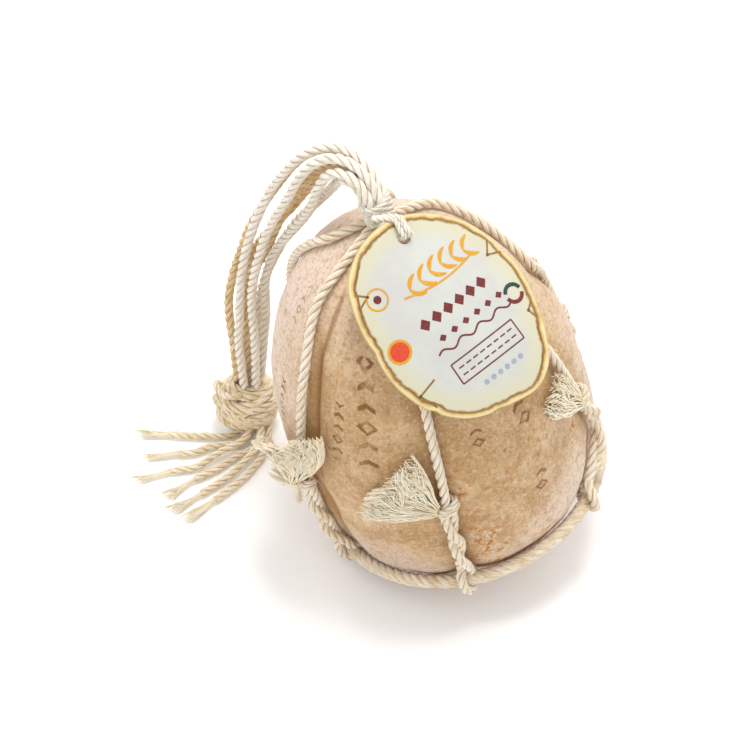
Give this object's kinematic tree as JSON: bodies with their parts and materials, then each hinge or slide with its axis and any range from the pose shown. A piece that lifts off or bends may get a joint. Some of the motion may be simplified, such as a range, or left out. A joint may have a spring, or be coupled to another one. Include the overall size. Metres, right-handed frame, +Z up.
{
  "type": "roped whole cheese",
  "caption": "Roped melon-shaped whole cheese with a rope hoop, stays, a knotted hank and a card tag, leaning on its blunt end.",
  "frame": {"origin": "middle of the flattened spot that the cheese stands on", "axes": "+Z up from the floor; the tag faces -Y and up; the hank and its knot are towards -X"},
  "size_m": [0.2634, 0.181, 0.2498],
  "materials": {
    "rind": "satin",
    "cord": "matte",
    "fray": "matte",
    "card": "satin"
  },
  "bodies": {
    "root": {"cheese": "rind", "hoop": "cord", "stay_a": "cord", "hitch_a": "cord", "tassel_a": "fray", "stay_b": "cord", "hitch_b": "cord", "tassel_b": "fray", "stay_c": "cord", "hitch_c": "cord", "tassel_c": "fray", "stay_d": "cord", "hitch_d": "cord", "tassel_d": "fray", "stay_e": "cord", "hitch_e": "cord", "tassel_e": "fray", "stay_f": "cord", "hitch_f": "cord", "tassel_f": "fray", "whipping": "cord", "tag": "card", "tag_string": "cord", "big_knot": "cord", "hank_1": "cord", "hank_2": "cord", "hank_3": "cord", "hank_4": "cord", "hank_5": "cord", "hank_6": "cord", "hank_7": "cord", "tail_1": "cord", "tail_2": "cord", "tail_3": "cord", "tail_4": "cord", "tail_5": "cord", "tail_6": "cord"}
  },
  "joints": []
}
